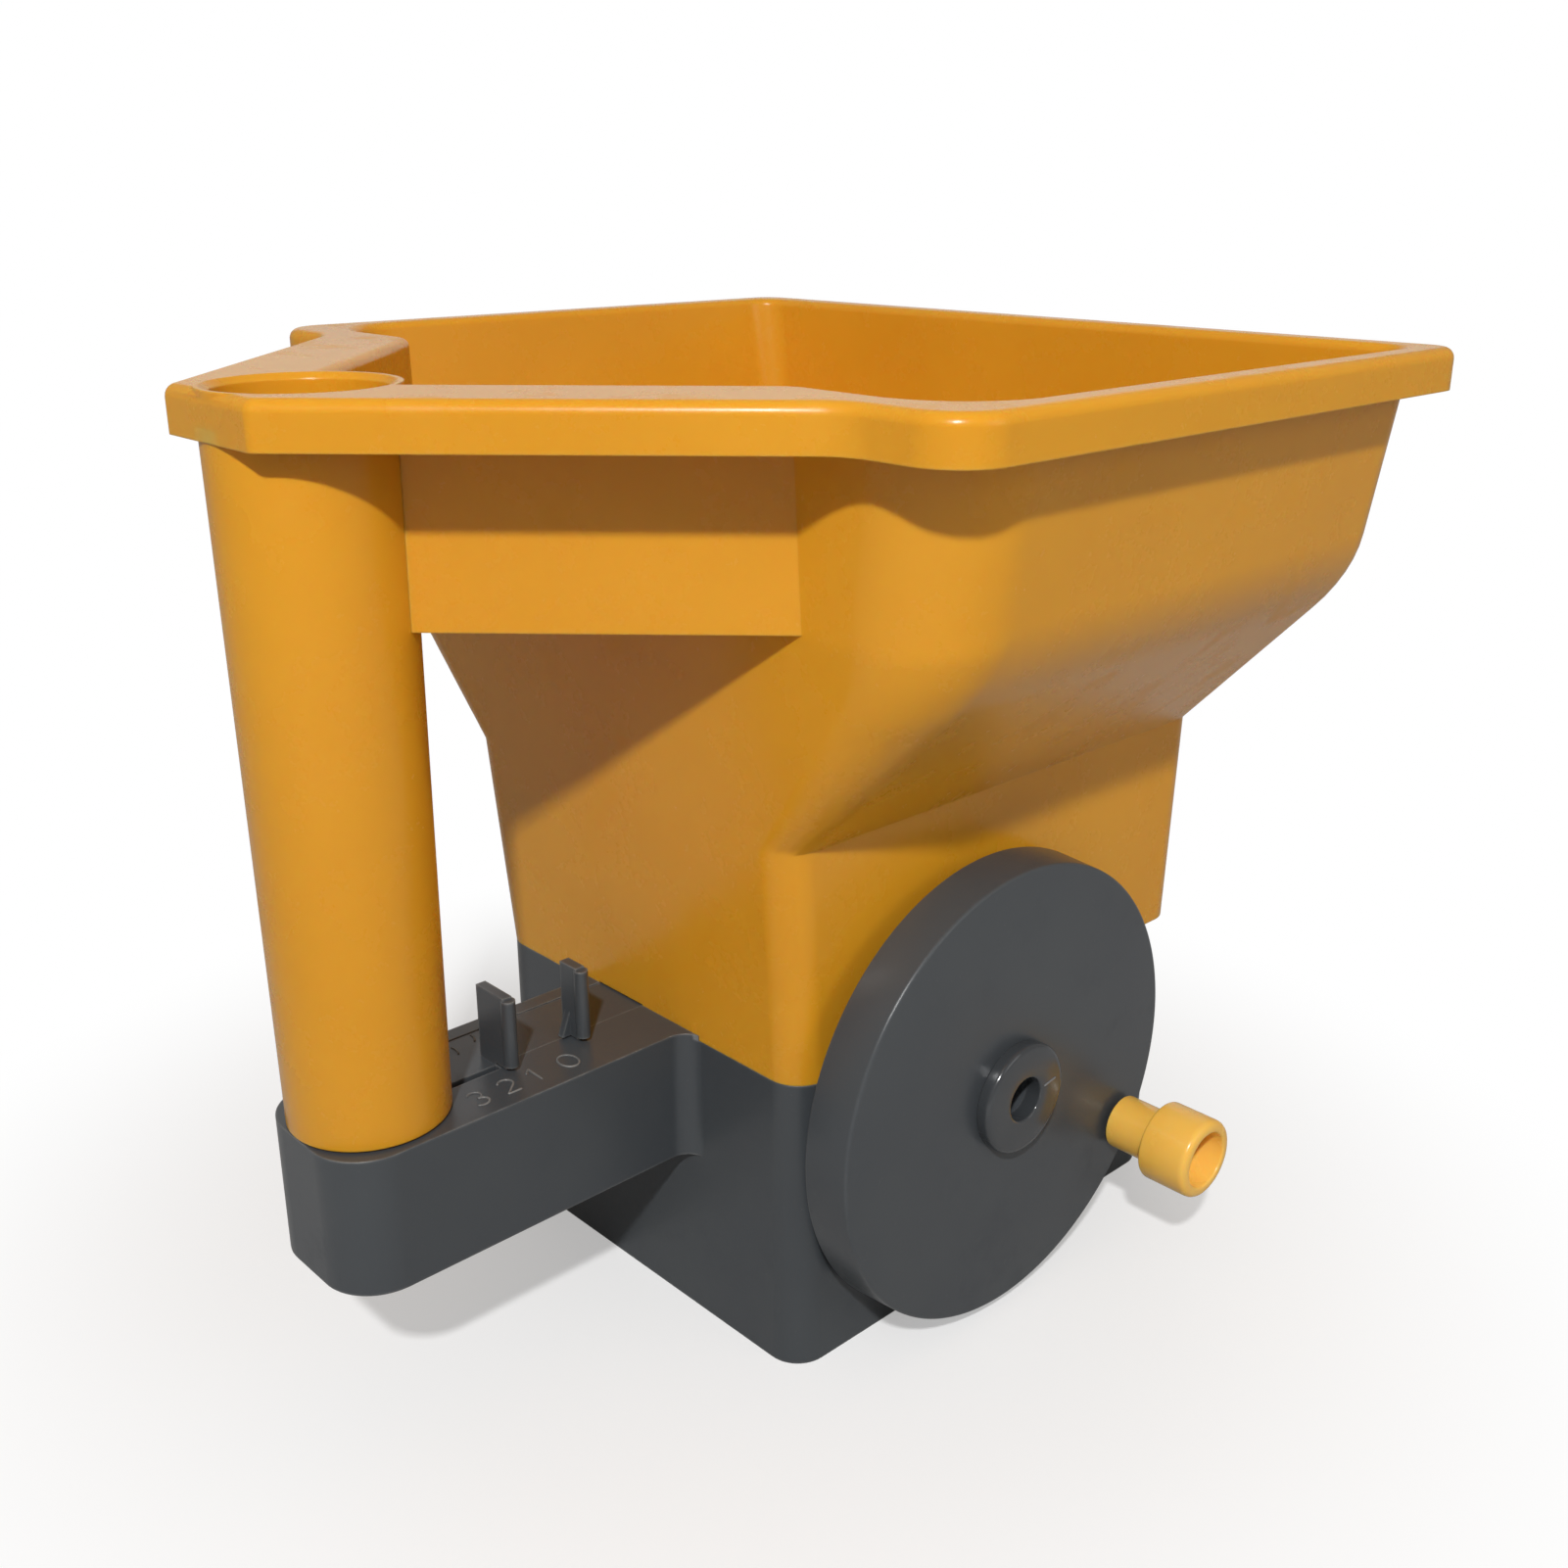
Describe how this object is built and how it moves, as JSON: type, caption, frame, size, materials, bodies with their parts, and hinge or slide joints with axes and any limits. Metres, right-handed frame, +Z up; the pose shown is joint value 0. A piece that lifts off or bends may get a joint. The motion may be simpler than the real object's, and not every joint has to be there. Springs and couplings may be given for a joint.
{
  "type": "hand-cranked spreader",
  "caption": "Hand-held seed spreader: open hopper on a geared base with a tube grip, a side crank disc with knob, a dosing slider and a spinner.",
  "frame": {"origin": "middle of the object's footprint box on the floor the base stands on", "axes": "+X forward, the way the seed is thrown, +Y to the user's left, +Z up; the crank is on the -Y side"},
  "size_m": [0.2488, 0.2354, 0.2355],
  "materials": {
    "hopper_orange": "moulded, satin gloss",
    "knob_orange": "moulded, gloss",
    "base_grey": "moulded, satin",
    "gear_white": "moulded acetal",
    "shaft_steel": "turned"
  },
  "bodies": {
    "frame": {"hopper": "hopper_orange", "grip_tube": "hopper_orange", "base_housing": "base_grey", "base_arm": "base_grey", "shaft_bracket": "base_grey"},
    "slider": {"dosing_slider": "base_grey"},
    "crank": {"crank_disc": "base_grey", "crank_shaft": "shaft_steel", "crown_gear": "gear_white", "knob_pin": "shaft_steel"},
    "knob": {"crank_knob": "knob_orange"},
    "spinner": {"spinner_disc": "base_grey", "spinner_shaft": "gear_white"}
  },
  "joints": [
    {"name": "crank_spin", "type": "hinge", "parent": "frame", "child": "crank", "pos_m": [0.0258, -0.07, 0.0623], "axis": [0, -1, 0], "continuous": true},
    {"name": "knob_spin", "type": "hinge", "parent": "crank", "child": "knob", "pos_m": [0.0702, -0.095, 0.037], "axis": [0, -1, 0], "continuous": true},
    {"name": "spinner_spin", "type": "hinge", "parent": "frame", "child": "spinner", "pos_m": [0.0258, 0, 0.03], "axis": [0, 0, 1], "continuous": true},
    {"name": "gate_slide", "type": "slide", "parent": "frame", "child": "slider", "axis": [-1, 0, 0], "range_m": [-0.0118, 0.0123]}
  ],
  "couplings": [
    {"joint": "spinner_spin", "follows": "crank_spin", "ratio": 3.25}
  ]
}
